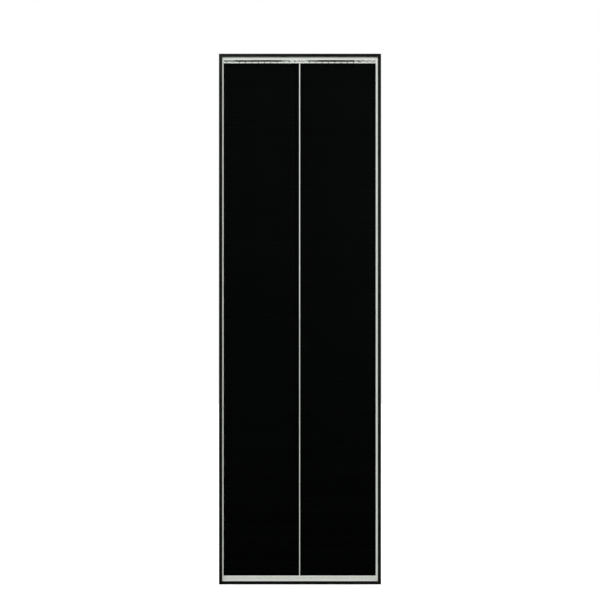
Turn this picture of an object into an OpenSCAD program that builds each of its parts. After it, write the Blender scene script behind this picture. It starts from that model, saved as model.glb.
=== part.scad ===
// Slim framed solar module: two columns of overlapping cell strips behind toughened glass.
// It stands upright. +Z runs up its length, the glass faces -Y, and +X is to the right as the
// glass is looked at. The origin is the middle of the bottom edge, halfway through the depth.

/* [Cells] */
// Length of one cell strip, across the module
strip_len = 210; // [182:1:210]
// Width of one cell strip before it is overlapped
strip_w = 36.4; // [32:0.1:42]
// How far each strip laps over the one below it
strip_lap = 0.85; // [0.6:0.05:1.6]
// Strips in one column
strip_count = 40; // [36:1:44]
// Gap between the two columns
column_gap = 2.5; // [2:0.1:5]
// How far the two columns sit off the middle of the frame, as laid up
column_shift = -1; // [-2:0.5:2]
// Backsheet seen between a column and the side lip, before that shift
side_margin = 4.75; // [4:0.05:8]
// Backsheet seen between the cells and the top lip
top_margin = 16.9; // [16:0.1:26]
// Backsheet seen between the cells and the bottom lip
bottom_margin = 15.25; // [15:0.05:26]

/* [Bus ribbons] */
// Width of the ribbon across each end of the columns
bus_w = 5; // [4:0.5:6]
// Space between the bus ribbon and the cells
bus_gap = 3.8; // [3:0.1:5]
// Solder tabs from the bus ribbon to each column
tab_count = 12; // [8:1:14]
// Width of one solder tab
tab_w = 1.8; // [1.4:0.1:2.4]

/* [Frame] */
// Depth of the frame from lip to rear flange
frame_d = 30; // [30:1:40]
// Width of the lip seen around the glass
lip_w = 9; // [7:0.5:10]
// Width of the rear flange
flange_w = 24; // [24:1:30]
// Thickness of the extruded walls
wall_t = 1.4; // [1.2:0.1:1.6]
// Width of the mounting slots
slot_w = 9; // [7:0.5:9]
// End-to-end length of the mounting slots
slot_len = 14; // [12:1:18]
// Distance between the outer mounting slots of one rail
outer_span = 1060; // [900:10:1120]
// Distance between the inner mounting slots of one rail
inner_span = 700; // [600:10:760]

/* [Junction box] */
// Width of the junction box
jb_w = 108; // [104:1:116]
// Height of the junction box, along the module
jb_h = 92; // [88:1:100]
// Space from the top edge of the module to the box
jb_drop = 62; // [54:1:90]

/* [Leads] */
// Outer diameter of the cable
cable_d = 6; // [5.6:0.1:6.2]
// Free cable between each gland and the point where the lead bends
tail_len = 15; // [8:1:20]
// Straight run in the middle of each lead
lead_run = 545; // [300:5:600]

/* [Hidden] */
$fn = 48;
eps = 0.01;
film = 0.02; // space between laid-up layers, so that each one stays its own solid

// Overall size, from the cells outwards
strip_pitch = strip_w - strip_lap;
column_h = strip_count * strip_pitch + strip_lap;
panel_w = 2 * (lip_w + side_margin + strip_len) + column_gap;
panel_h = 2 * lip_w + top_margin + bottom_margin + column_h;
cells_z = lip_w + bottom_margin;

// Depths are measured back from the front face of the lip
lip_t = 1.6;
seal_t = 0.4;
seal_edge = 1;
glass_t = 3.2;
eva_t = 0.43;
strip_t = 0.18;
joint_t = 0.04; // conductive adhesive between two strips
insulator_t = 0.1;
ribbon_t = 0.15;
sheet_t = 0.3;
glass_v = lip_t + seal_t;
front_eva_v = glass_v + glass_t + film;
strip_v = front_eva_v + eva_t + film;
strip_tilt = atan((strip_t + joint_t) / strip_pitch);
bottom_bus_v = strip_v + strip_t + 2 * film;
strip_layer = ceil(100 * (strip_w * sin(strip_tilt) + strip_t)) / 100; // rounded to 0.01 mm
tap_v = strip_v + strip_layer + film;
insulator_v = tap_v + ribbon_t + film;
return_v = insulator_v + insulator_t + film;
rear_eva_v = return_v + ribbon_t + film;
rear_eva_t = 0.33;
sheet_v = rear_eva_v + rear_eva_t + film;
laminate_back_v = sheet_v + sheet_t;
groove_back_v = laminate_back_v + seal_t;
laminate_inset = wall_t + seal_edge;

// Hollow chamber behind the groove, which the corner keys fill
chamber_w = 11;
chamber_v = groove_back_v + wall_t;
chamber_d = 11;
slot_inset = 14;
mitre_gap = 0.08;
ground_r = 2.1;
key_arm = 42;
key_fit = 0.1;
key_tooth = 0.8;

// Junction box
jb_z = panel_h - jb_drop - jb_h / 2;
jb_wall = 3.2;
jb_floor = 2;
jb_d = 17;
jb_r = 6;
pad_t = 0.8;
jb_v = laminate_back_v + film + pad_t;
rim_v = jb_v + jb_d;
gasket_w = 1.4;
gasket_d = 1.2;
lid_t = 2.2;
lid_gap = 0.1;
lid_v = rim_v + lid_gap;
slit_w = 76;
slit_h = 9;
slit_z = jb_z + jb_h / 2 - 16;
hinge_r = 3;
hinge_z = jb_z + jb_h / 2 + hinge_r + 0.25;
hinge_v = rim_v + 0.4;
hinge_x = 32;
pin_r = 1.25;
lug_fit = 0.02;
knuckle_fit = 0.06;
knuckle_w = 8;
lug_w = 4;
lug_gap = 0.2;
latch_w = 22;
latch_t = 1.4;

// Terminals: one rail for each output ribbon
rail_x = [-32, 0, 32];
rail_v = jb_v + jb_floor + 3.3;
rail_t = 0.8;
rail_w = 11;
rail_h = 46;
rail_z = jb_z - 24;
diode_r = 4.4;
diode_len = 9.5;
lead_r = 0.65;
diode_z = jb_z + 4;
ribbon_w = 5;

// Glands and leads
port_x = 30;
port_v = jb_v + 9.2;
port_z = jb_z - jb_h / 2;
boss_r = 6.8;
boss_len = 9;
port_r = 5.5;
nut_len = 14;
nut_face_z = port_z - 1.5 - nut_len;
cable_r = cable_d / 2;
core_r = 1.3;
core_fit = 0.05;
pivot_z = nut_face_z - tail_len - cable_r - 0.2;
first_jog = [80, 30]; // radius and angle of the bends below the box
second_jog = [120, 15]; // radius and angle of the bends near the connector
swell = 0.03; // how far the balls that join two bends stand proud
lead_head = 24;
lead_foot = 70;
lead_drop = lead_head + lead_run + lead_foot + jog_z(first_jog) + jog_z(second_jog);
lead_shift = jog_x(first_jog) - jog_x(second_jog);
tip_x = port_x + lead_shift;
tip_z = pivot_z - lead_drop;

// Connectors: sizes along the lead, from where the cable goes in
cap_r = 9;
cap_len = 15;
neck_r = 7;
collar_v = cap_len - 2.8;
collar_len = 9;
collar_end = collar_v + collar_len;
barrel_len = 25;
barrel_r = 8.6;
barrel_bore = 4.75;
nose_r = 4.6;
nose_len = 22;
contact_r = 2; // the round pin that the mating socket takes
socket_r = 2.05;
crimp_r = 3;
pin_len = 19;
socket_len = 20;
arm_r = 5.6; // inner face of the latch arms, from the connector's centre line
arm_t = 1.6;
arm_w = 5.2;
arm_len = 19;
barb_len = 8;
barb_h = 1.4;

// ---- Helpers ----

// A flat shape in the XZ plane, given depth from v to v + t
module slab(v, t) {
    translate([0, v + t - frame_d / 2, 0]) rotate([90, 0, 0]) linear_extrude(t) children();
}

module rect(x0, z0, x1, z1) {
    translate([x0, z0]) square([x1 - x0, z1 - z0]);
}

module round_rect(w, h, r) {
    square([w - 2 * r, h], center = true);
    square([w, h - 2 * r], center = true);
    for (x = [-1, 1], z = [-1, 1]) translate([x * (w / 2 - r), z * (h / 2 - r)]) circle(r);
}

module slot_2d(w, len) {
    square([w, len - w], center = true);
    for (z = [-1, 1]) translate([0, z * (len - w) / 2]) circle(w / 2);
}

// Everything inside goes to a point in the module, with its own Z pointing down
module hang_at(x, v, z) {
    translate([x, v - frame_d / 2, z]) rotate([180, 0, 0]) children();
}

module both_sides() {
    children();
    mirror([1, 0, 0]) children();
}

// A ring of given height, from z = at
module tube(r_out, r_in, at, len) {
    translate([0, 0, at]) difference() {
        cylinder(r = r_out, h = len);
        translate([0, 0, -1]) cylinder(r = r_in, h = len + 2);
    }
}

// A bend in the XZ plane between two angles, seen from its centre
module bend(r, from, to, section_r) {
    rotate([90, 0, 0]) rotate_extrude(angle = to - from, start = from)
        translate([r, 0]) circle(section_r);
}

// A run that starts at the origin along +Z and steps sideways to carry on parallel
module jog(b, section_r) {
    r = b[0];
    a = b[1];
    trim = 0.03; // degrees left open at each end, which the joining balls fill
    translate([r, 0, 0]) bend(r, 180 - a + trim, 180 - trim, section_r);
    translate([r * (1 - cos(a)), 0, r * sin(a)]) sphere(section_r + swell);
    translate([jog_x(b) - r, 0, jog_z(b)]) bend(r, 360 - a + trim, 360 - trim, section_r);
}
function jog_x(b) = 2 * b[0] * (1 - cos(b[1]));
function jog_z(b) = 2 * b[0] * sin(b[1]);

// A round section all along a hanging lead, from its pivot down
module lead_run_of(section_r, tail) {
    low_z = lead_head + jog_z(first_jog) + lead_run;
    cylinder(r = section_r, h = lead_head);
    translate([0, 0, lead_head]) {
        sphere(section_r + swell);
        jog(first_jog, section_r);
    }
    translate([jog_x(first_jog), 0, lead_head + jog_z(first_jog)]) {
        sphere(section_r + swell);
        cylinder(r = section_r, h = lead_run);
    }
    translate([jog_x(first_jog), 0, low_z]) {
        sphere(section_r + swell);
        mirror([1, 0, 0]) jog(second_jog, section_r);
    }
    translate([lead_shift, 0, lead_drop - lead_foot]) {
        sphere(section_r + swell);
        cylinder(r = section_r, h = lead_foot + tail);
    }
}

// ---- Frame ----

// Cross-section of the rail: x runs inwards from the outer face, y back from the lip
module rail_profile() {
    translate([0, -frame_d / 2]) {
        square([wall_t, frame_d]);
        square([lip_w, lip_t]);
        translate([0, groove_back_v]) difference() {
            square([chamber_w, chamber_d + 2 * wall_t]);
            translate([wall_t, wall_t]) square([chamber_w - 2 * wall_t, chamber_d]);
        }
        translate([0, frame_d - wall_t]) square([flange_w, wall_t]);
    }
}

// Cuts a rail lying from 0 to len along Z to a 45 degree mitre at both ends
module mitre(len) {
    reach = flange_w + 2;
    intersection() {
        children();
        slab(-1, frame_d + 2) polygon([
            [0, mitre_gap], [reach, reach + mitre_gap],
            [reach, len - reach - mitre_gap], [0, len - mitre_gap]
        ]);
    }
}

module side_rail() {
    translate([-panel_w / 2, 0, 0]) difference() {
        mitre(panel_h) linear_extrude(panel_h) rail_profile();
        for (span = [outer_span, inner_span], s = [-1, 1])
            translate([slot_inset, 0, panel_h / 2 + s * span / 2])
                slab(frame_d - wall_t - 1, wall_t + 2) slot_2d(slot_w, slot_len);
        translate([slot_inset, 0, panel_h / 2])
            slab(frame_d - wall_t - 1, wall_t + 2) circle(ground_r);
    }
}

// The short rail, with a drain notch in its flange near each corner
module end_rail() {
    notch_x = 44;
    notch_w = 12;
    notch_d = 4;
    difference() {
        translate([panel_w / 2, 0, 0]) rotate([0, -90, 0])
            mitre(panel_w) linear_extrude(panel_w) rail_profile();
        both_sides() slab(frame_d - wall_t - 1, wall_t + 2)
            rect(panel_w / 2 - notch_x - notch_w, flange_w - notch_d,
                panel_w / 2 - notch_x, flange_w + 1);
    }
}

module frame_rail_left() { color("#1b1b1c") side_rail(); }
module frame_rail_right() { color("#1b1b1c") mirror([1, 0, 0]) side_rail(); }
module frame_rail_bottom() { color("#1b1b1c") end_rail(); }
module frame_rail_top() {
    color("#1b1b1c") translate([0, 0, panel_h]) mirror([0, 0, 1]) end_rail();
}

// One toothed L that joins two rails at the bottom left corner
module corner_key() {
    near = wall_t + key_fit;
    far = chamber_w - wall_t - key_fit;
    translate([-panel_w / 2, 0, 0]) difference() {
        slab(chamber_v + key_fit, chamber_d - 2 * key_fit) {
            rect(near, near, far, key_arm);
            rect(near, near, key_arm, far);
        }
        for (i = [0:4]) {
            at = 16 + 5 * i;
            slab(chamber_v - 1, 1 + key_fit + key_tooth) {
                rect(near - 1, at, far + 1, at + 2);
                rect(at, near - 1, at + 2, far + 1);
            }
        }
    }
}

module corner_keys() {
    color("#a8aaac") both_sides() {
        corner_key();
        translate([0, 0, panel_h]) mirror([0, 0, 1]) corner_key();
    }
}

// ---- Laminate ----

module inset_rect(d) { rect(-panel_w / 2 + d, d, panel_w / 2 - d, panel_h - d); }

// Silicone in the groove, around the edge of the laminate
module edge_seal() {
    front_in = lip_w - 0.6;
    rear_in = chamber_w - 0.6;
    color("#2a2a2a") difference() {
        union() {
            slab(lip_t + film, seal_t + glass_t) difference() {
                inset_rect(wall_t + film);
                inset_rect(front_in);
            }
            slab(glass_v + glass_t - film, groove_back_v - glass_v - glass_t) difference() {
                inset_rect(wall_t + film);
                inset_rect(rear_in);
            }
        }
        slab(glass_v - film, laminate_back_v - glass_v + 2 * film)
            inset_rect(laminate_inset - film);
    }
}

module front_glass() {
    color("#cfe0dd", 0.35) slab(glass_v, glass_t) inset_rect(laminate_inset);
}
module front_encapsulant() {
    color("#eef2f2", 0.3) slab(front_eva_v, eva_t) inset_rect(laminate_inset);
}

// The way in for the output ribbons, through the rear films and the box's floor
module lead_slit() {
    translate([0, slit_z]) square([slit_w, slit_h], center = true);
}
module rear_encapsulant() {
    color("#f2f3f0", 0.5) slab(rear_eva_v, rear_eva_t) difference() {
        inset_rect(laminate_inset);
        lead_slit();
    }
}
module backsheet() {
    color("#f4f4f1") slab(sheet_v, sheet_t) difference() {
        inset_rect(laminate_inset);
        lead_slit();
    }
}

// One column, in its own frame: each strip leans so that its foot lies over the head below
module cell_column() {
    for (i = [0:strip_count - 1])
        translate([0, strip_v - frame_d / 2, cells_z + i * strip_pitch])
            rotate([-strip_tilt, 0, 0]) cube([strip_len, strip_t, strip_w]);
}
module cell_column_left() {
    color("#07080c") translate([column_shift - column_gap / 2 - strip_len, 0, 0]) cell_column();
}
module cell_column_right() {
    color("#07080c") translate([column_shift + column_gap / 2, 0, 0]) cell_column();
}

// Conductive adhesive in each lap: one bead under the foot of every strip but the lowest
module strip_adhesive() {
    bead = 0.5;
    gap = 0.005;
    color("#8d8f90") for (x = [-column_gap / 2 - strip_len, column_gap / 2], i = [1:strip_count - 1])
        translate([column_shift + x + 2, strip_v - frame_d / 2, cells_z + i * strip_pitch])
            rotate([-strip_tilt, 0, 0]) translate([0, strip_t + gap, (strip_lap - bead) / 2])
                cube([strip_len - 4, joint_t - 3 * gap, bead]);
}

// Bus ribbon above the cells: solder tabs reach down, and slits between them relieve strain
module bus_ribbon_2d(z) {
    lap = 1.5;
    tab_pitch = strip_len / tab_count;
    slits = 3;
    slit_len = 3.2;
    difference() {
        rect(-column_gap / 2 - strip_len + 1, z, column_gap / 2 + strip_len - 1, z + bus_w);
        for (s = [-1, 1], i = [0:tab_count - 1], j = [0:slits - 1])
            translate([s * (column_gap / 2 + (i + (j + 0.5) / slits) * tab_pitch), z + bus_w / 2])
                square([slit_len, 0.8], center = true);
    }
    for (s = [-1, 1], i = [0:tab_count - 1])
        translate([s * (column_gap / 2 + (i + 0.5) * tab_pitch) - tab_w / 2, z - bus_gap - lap])
            square([tab_w, bus_gap + lap + eps]);
}

module bus_ribbon_top() {
    bus_v = strip_v + film;
    bus_z = cells_z + column_h + bus_gap;
    color("#9a9c9e") {
        slab(bus_v, ribbon_t) translate([column_shift, 0]) bus_ribbon_2d(bus_z);
        // The positive lead: from the bus it goes back behind the cells and into the box
        slab(bus_v, return_v + ribbon_t - bus_v)
            rect(rail_x[0] - ribbon_w / 2, bus_z + 3.5, rail_x[0] + ribbon_w / 2, bus_z + 4.5);
        lead_ribbon(rail_x[0], bus_z + 4.5);
    }
}
module bus_ribbon_bottom() {
    color("#9a9c9e") slab(bottom_bus_v, ribbon_t) translate([column_shift, 0])
        mirror([0, 1]) bus_ribbon_2d(-cells_z + bus_gap);
}

// A flat ribbon behind the cells from z to the slit, then back through it and up a terminal rail
module lead_ribbon(x, z) {
    fold = 0.5;
    fold_z = slit_z + (z > slit_z ? 2 : -2);
    rail_top = rail_v + rail_t + film;
    x0 = x - ribbon_w / 2;
    x1 = x + ribbon_w / 2;
    slab(return_v, ribbon_t) rect(x0, min(z, fold_z), x1, max(z, fold_z + fold));
    slab(return_v, rail_top + ribbon_t - return_v) rect(x0, fold_z, x1, fold_z + fold);
    slab(rail_top, ribbon_t) rect(x0, rail_z + rail_h - 16, x1, fold_z + fold);
}

// The mid tap, across the backs of both columns, and the negative return up the whole length
module return_ribbons() {
    tap_z = cells_z + (strip_count / 2) * strip_pitch;
    tap_end = strip_len - 10;
    foot_z = cells_z - bus_gap - bus_w + 0.5;
    foot_v = bottom_bus_v + ribbon_t + film;
    x0 = rail_x[1] - ribbon_w / 2;
    x2 = rail_x[2] - ribbon_w / 2;
    color("#b4b6b8") {
        slab(tap_v, ribbon_t) rect(-tap_end, tap_z - ribbon_w / 2, tap_end, tap_z + ribbon_w / 2);
        slab(tap_v, return_v + ribbon_t - tap_v) rect(x0, tap_z, x0 + ribbon_w, tap_z + 1);
        lead_ribbon(rail_x[1], tap_z);
        slab(foot_v, return_v + ribbon_t - foot_v) rect(x2, foot_z, x2 + ribbon_w, foot_z + 3);
        lead_ribbon(rail_x[2], foot_z);
    }
}

// Strips of film that keep the returns off the backs of the cells and hide them where they reach
// a bus ribbon, and a short one that hides the mid tap in the gap between the columns
module ribbon_insulators() {
    side = 5;
    tap_z = cells_z + (strip_count / 2) * strip_pitch;
    cells_top = cells_z + column_h;
    feet = [slit_z - 20, tap_z + 4, cells_z - bus_gap - 1.2];
    heads = [cells_top + bus_gap + 3.2, cells_top - 2, cells_top - 2];
    cover = [column_gap - 0.4, ribbon_w + 1];
    color("#e9e9e6") {
        slab(insulator_v, insulator_t) for (i = [0:2])
            translate([rail_x[i], 0])
                rect(-ribbon_w / 2 - side, feet[i], ribbon_w / 2 + side, heads[i]);
        slab(tap_v - film - insulator_t, insulator_t)
            translate([column_shift, tap_z]) square(cover, center = true);
    }
}

module rating_label() {
    label = [96, 62];
    color("#d9dadb") slab(laminate_back_v + film, 0.12)
        translate([-110, jb_z - 190]) round_rect(label[0], label[1], 2);
}

// ---- Junction box ----

module at_box() { translate([0, 0, jb_z]) children(); }

module junction_box_pad() {
    color("#1d1d1d") at_box() slab(laminate_back_v + film, pad_t - film) difference() {
        round_rect(jb_w - 6, jb_h - 6, jb_r);
        translate([0, slit_z - jb_z]) square([slit_w + 6, slit_h + 6], center = true);
    }
}

// A hinge eye around the pin: a cylinder across X with a foot towards the box
module hinge_eye(x, w, foot_v, foot_h, bore) {
    translate([x - w / 2, 0, 0]) difference() {
        union() {
            translate([0, hinge_v - frame_d / 2, hinge_z]) rotate([0, 90, 0])
                cylinder(r = hinge_r, h = w);
            translate([0, foot_v[0] - frame_d / 2, hinge_z - foot_h])
                cube([w, foot_v[1] - foot_v[0], foot_h]);
        }
        translate([-1, hinge_v - frame_d / 2, hinge_z]) rotate([0, 90, 0])
            cylinder(r = bore, h = w + 2);
    }
}

module hinge_places() { for (s = [-1, 1]) translate([s * hinge_x, 0, 0]) children(); }

// Posts that hold the terminal rails off the floor of the box
module rail_posts() {
    for (x = rail_x, z = [6, rail_h - 6])
        translate([x, jb_v + jb_floor - eps - frame_d / 2, rail_z + z]) rotate([-90, 0, 0])
            cylinder(r = 3, h = rail_v - jb_v - jb_floor - film);
}

module junction_box_base() {
    lug_x = (knuckle_w + lug_w) / 2 + lug_gap;
    catch_v = rim_v - 7;
    catch_h = 0.9;
    color("#161617") {
        difference() {
            union() {
                at_box() slab(jb_v, jb_d) round_rect(jb_w, jb_h, jb_r);
                for (s = [-1, 1]) hang_at(s * port_x, port_v, port_z + 1)
                    cylinder(r = boss_r, h = boss_len + 1);
            }
            at_box() slab(jb_v + jb_floor, jb_d)
                round_rect(jb_w - 2 * jb_wall, jb_h - 2 * jb_wall, jb_r - jb_wall);
            at_box() slab(rim_v - gasket_d, gasket_d + 1) difference() {
                round_rect(jb_w - jb_wall + gasket_w, jb_h - jb_wall + gasket_w,
                    jb_r - (jb_wall - gasket_w) / 2);
                round_rect(jb_w - jb_wall - gasket_w, jb_h - jb_wall - gasket_w,
                    jb_r - (jb_wall + gasket_w) / 2);
            }
            slab(jb_v - 1, jb_floor + 2) lead_slit();
            for (s = [-1, 1]) hang_at(s * port_x, port_v, port_z + jb_wall + 1)
                cylinder(r = port_r, h = boss_len + jb_wall + 2);
        }
        hinge_places() for (s = [-1, 1])
            hinge_eye(s * lug_x, lug_w, [hinge_v - 9, hinge_v + 1], hinge_z - jb_z - jb_h / 2 + eps,
                pin_r + lug_fit);
        // The catch that the lid's tongue passes over
        translate([-latch_w / 2 + 4, catch_v - frame_d / 2, port_z - catch_h])
            cube([latch_w - 8, 2, catch_h + eps]);
        rail_posts();
    }
}

module junction_box_gasket() {
    inset = 0.05;
    color("#3a3a3c") at_box() slab(rim_v - gasket_d + inset, gasket_d + lid_gap - 2 * inset)
        difference() {
            round_rect(jb_w - jb_wall + gasket_w - 2 * inset, jb_h - jb_wall + gasket_w - 2 * inset,
                jb_r - (jb_wall - gasket_w) / 2 - inset);
            round_rect(jb_w - jb_wall - gasket_w + 2 * inset, jb_h - jb_wall - gasket_w + 2 * inset,
                jb_r - (jb_wall + gasket_w) / 2 + inset);
        }
}

module junction_box_lid() {
    rib_gap = 0.6;
    rib_t = 1.4;
    rib_d = 1.8;
    tongue_d = 12;
    tongue_gap = 1;
    top = jb_z + jb_h / 2;
    color("#19191a") {
        at_box() {
            difference() {
                slab(lid_v, lid_t) round_rect(jb_w, jb_h - 0.6, jb_r);
                slab(lid_v + lid_t - 0.5, 1) difference() {
                    round_rect(jb_w - 16, jb_h - 16, jb_r - 2);
                    round_rect(jb_w - 19, jb_h - 19, jb_r - 3);
                }
            }
            slab(lid_v + lid_t - eps, 0.7) round_rect(jb_w - 30, jb_h - 34, jb_r);
            slab(lid_v - rib_d, rib_d + eps) difference() {
                round_rect(jb_w - 2 * (jb_wall + rib_gap), jb_h - 2 * (jb_wall + rib_gap), 2.2);
                round_rect(jb_w - 2 * (jb_wall + rib_gap + rib_t),
                    jb_h - 2 * (jb_wall + rib_gap + rib_t), 1);
            }
        }
        // The tongue: a flat spring with a window that shows the catch, and a finger lip
        difference() {
            translate([-latch_w / 2, lid_v + lid_t - tongue_d - frame_d / 2,
                port_z - tongue_gap - latch_t]) {
                cube([latch_w, tongue_d, latch_t]);
                translate([0, 0, -1.6]) cube([latch_w, 2, 1.6 + eps]);
                translate([0, tongue_d - lid_t, 0]) cube([latch_w, lid_t, latch_t + tongue_gap + 2]);
            }
            translate([-latch_w / 2 + 3, rim_v - 7.6 - frame_d / 2, port_z - tongue_gap - latch_t - 1])
                cube([latch_w - 6, 3.2, latch_t + 1.5]);
        }
        hinge_places() hinge_eye(0, knuckle_w, [lid_v + 0.2, hinge_v + hinge_r],
            hinge_z - top + 3, pin_r + knuckle_fit);
    }
}

module lid_hinge_pins() {
    len = knuckle_w + 2 * (lug_w + lug_gap) - 0.4;
    color("#c4c6c8") hinge_places() translate([-len / 2, hinge_v - frame_d / 2, hinge_z])
        rotate([0, 90, 0]) cylinder(r = pin_r, h = len);
}

module terminal_rails() {
    color("#c9b28a") slab(rail_v, rail_t) for (x = rail_x)
        translate([x, rail_z + rail_h / 2]) round_rect(rail_w, rail_h, 1.5);
}

// Spring clips that press each ribbon onto its rail
module ribbon_clips() {
    clip_w = 9;
    clip_h = 6;
    clip_v = rail_v + rail_t + film;
    color("#b9bbbd") for (x = rail_x) translate([x, 0, rail_z + rail_h - 13]) difference() {
        slab(clip_v, 2.2) translate([-clip_w / 2, 0]) square([clip_w, clip_h]);
        slab(clip_v - 1, 1 + ribbon_t + 2 * film) translate([-ribbon_w / 2 - 0.2, -1])
            square([ribbon_w + 0.4, clip_h + 2]);
        slab(clip_v + 1, 3) translate([-clip_w / 2 + 1.5, 1.5]) square([clip_w - 3, clip_h - 3]);
    }
}

// Two axial diodes, each across one pair of rails
module bypass_diodes() {
    axis_v = rail_v + rail_t + lead_r + film;
    color("#1a1a1c") for (i = [0, 1]) {
        mid = (rail_x[i] + rail_x[i + 1]) / 2;
        len = rail_x[i + 1] - rail_x[i] - 4;
        translate([mid, axis_v - frame_d / 2, diode_z]) rotate([0, 90, 0]) {
            cylinder(r = diode_r, h = diode_len, center = true);
            cylinder(r = lead_r, h = len, center = true);
        }
    }
}

// Saddles that hold the cable cores down on the outer rails
module cable_clamps() {
    saddle_w = 9;
    saddle_h = 7;
    core_v = port_v;
    base_v = rail_v + rail_t + film;
    color("#b9bbbd") for (s = [-1, 1]) translate([s * port_x, 0, rail_z + 2]) difference() {
        slab(base_v, core_v + core_r + 1.2 - base_v)
            translate([-saddle_w / 2, 0]) square([saddle_w, saddle_h]);
        translate([0, core_v - frame_d / 2, -1]) cylinder(r = core_r + core_fit, h = saddle_h + 2);
    }
}

// ---- Glands ----

module at_ports() { for (s = [-1, 1]) hang_at(s * port_x, port_v, port_z) children(); }

module gland_seals() {
    color("#2e2e30") at_ports() tube(port_r - 0.05, cable_r + 0.03, -1, boss_len + 0.8);
}

module gland_nuts() {
    hex_len = nut_len - 5;
    color("#141415") at_ports() translate([0, 0, 1.5]) difference() {
        union() {
            cylinder(r = 9.1, h = hex_len, $fn = 6);
            translate([0, 0, hex_len - eps]) cylinder(r1 = 7.7, r2 = 5.4, h = 5 + eps);
        }
        translate([0, 0, -1]) cylinder(r = boss_r + 0.1, h = boss_len + 0.2);
        cylinder(r = cable_r + 0.4, h = nut_len + 1);
    }
}

module cable_tails() {
    inner = 9;
    color("#101011") at_ports()
        tube(cable_r, core_r + core_fit, -inner, inner + 1.5 + nut_len + tail_len);
}

module cable_tail_cores() {
    top = port_z - rail_z - 11;
    color("#b98a5e") at_ports() translate([0, 0, top])
        cylinder(r = core_r, h = 1.5 + nut_len + tail_len - top - 0.1);
}

// ---- Leads ----

// The hanging part of a lead. It starts with a ball, on which it swings out below the tail
// that comes out of the gland.
module lead_cable() {
    hang_at(port_x, port_v, pivot_z) difference() {
        union() {
            sphere(cable_r + swell);
            lead_run_of(cable_r, 0);
        }
        lead_run_of(core_r + core_fit, 1);
    }
}
module lead_core() {
    hang_at(port_x, port_v, pivot_z) lead_run_of(core_r, 10);
}
module at_tip() { hang_at(tip_x, port_v, tip_z) children(); }

// Cap nut with ribs to grip, domed where the cable goes in
module cap_nut() {
    dome = 4;
    skin_r = cap_r - 0.8;
    top = -3;
    difference() {
        union() {
            translate([0, 0, top]) cylinder(r1 = 5.2, r2 = skin_r, h = dome);
            translate([0, 0, top + dome - eps]) cylinder(r = skin_r, h = cap_len - dome);
            for (a = [0:30:330]) rotate(a) translate([skin_r - 0.5, -1, top + dome + 0.5])
                cube([1.3, 2, cap_len - dome - 1]);
        }
        translate([0, 0, top - 1]) cylinder(r = cable_r + 0.15, h = 5);
        cylinder(r = neck_r + 0.1, h = cap_len);
    }
}

// Clamping claw and seal, between the cable and the housing
module gland_insert() { tube(neck_r - 1.2, cable_r + 0.05, 0.4, 7); }

// Rear half shared by both housings: a threaded neck inside the cap nut, then a collar
module housing_neck() {
    difference() {
        union() {
            translate([0, 0, 3]) cylinder(r = neck_r, h = cap_len - 5);
            translate([0, 0, collar_v]) cylinder(r = barrel_r, h = collar_len);
        }
        translate([0, 0, 2]) cylinder(r = neck_r - 1.1, h = 5.6);
        cylinder(r = crimp_r + 0.1, h = collar_end + 1);
    }
}

// Male side: an open barrel around the pin, with a channel and a window for each latch arm
module positive_housing() {
    floor_t = 1.5;
    reach = arm_r + arm_t + 0.5;
    window_z = barrel_len - arm_len - 0.5;
    color("#121213") mirror([1, 0, 0]) at_tip() {
        housing_neck();
        translate([0, 0, collar_end - eps]) difference() {
            cylinder(r = barrel_r, h = barrel_len);
            translate([0, 0, floor_t]) cylinder(r = barrel_bore, h = barrel_len);
            translate([0, 0, -1]) cylinder(r = crimp_r + 0.1, h = 4);
            translate([-reach, -arm_w / 2 - 0.3, window_z])
                cube([2 * reach, arm_w + 0.6, barrel_len]);
            translate([-barrel_r - 1, -arm_w / 2 - 0.3, window_z])
                cube([2 * barrel_r + 2, arm_w + 0.6, barb_len + 1]);
        }
    }
}

// Female side: a slim nose, with a latch arm each side
module negative_housing() {
    color("#121213") at_tip() {
        housing_neck();
        translate([0, 0, collar_end - eps]) tube(nose_r, crimp_r + 0.1, 0, nose_len);
        for (a = [0, 180]) rotate(a) translate([arm_r, -arm_w / 2, collar_end - eps]) {
            cube([arm_t, arm_w, arm_len]);
            translate([arm_t - eps, arm_w, arm_len - barb_len]) rotate([90, 0, 0])
                linear_extrude(arm_w) polygon([[0, 0], [barb_h, 0], [0, barb_len]]);
        }
    }
}

// Crimped contact: a barrel on the core, then the part that mates
module contact(r_front, from, len) {
    crimp_z = 8.5;
    difference() {
        translate([0, 0, crimp_z]) cylinder(r = crimp_r, h = from - crimp_z + eps);
        cylinder(r = core_r + core_fit, h = crimp_z + 2.5);
    }
    translate([0, 0, from]) cylinder(r = r_front, h = len);
}

module positive_pin() {
    from = collar_end + 1.5;
    color("#cfd2d4") mirror([1, 0, 0]) at_tip() {
        contact(contact_r, from, pin_len);
        translate([0, 0, from + pin_len]) cylinder(r1 = contact_r, r2 = 1.2, h = 1);
    }
}
module negative_socket() {
    from = collar_end + 1;
    color("#cfd2d4") at_tip() difference() {
        contact(crimp_r, from, socket_len);
        translate([0, 0, from + 2]) cylinder(r = socket_r, h = socket_len);
    }
}
module negative_nose_seal() {
    section_r = 0.4;
    color("#8a4a2a") at_tip() translate([0, 0, collar_end + section_r + 0.1])
        rotate_extrude() translate([nose_r + section_r + 0.01, 0]) circle(section_r);
}

module positive_cable() { color("#101011") mirror([1, 0, 0]) lead_cable(); }
module positive_core() { color("#b98a5e") mirror([1, 0, 0]) lead_core(); }
module positive_cap_nut() { color("#141415") mirror([1, 0, 0]) at_tip() cap_nut(); }
module positive_gland_insert() { color("#2e2e30") mirror([1, 0, 0]) at_tip() gland_insert(); }
module negative_cable() { color("#101011") lead_cable(); }
module negative_core() { color("#b98a5e") lead_core(); }
module negative_cap_nut() { color("#141415") at_tip() cap_nut(); }
module negative_gland_insert() { color("#2e2e30") at_tip() gland_insert(); }

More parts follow.
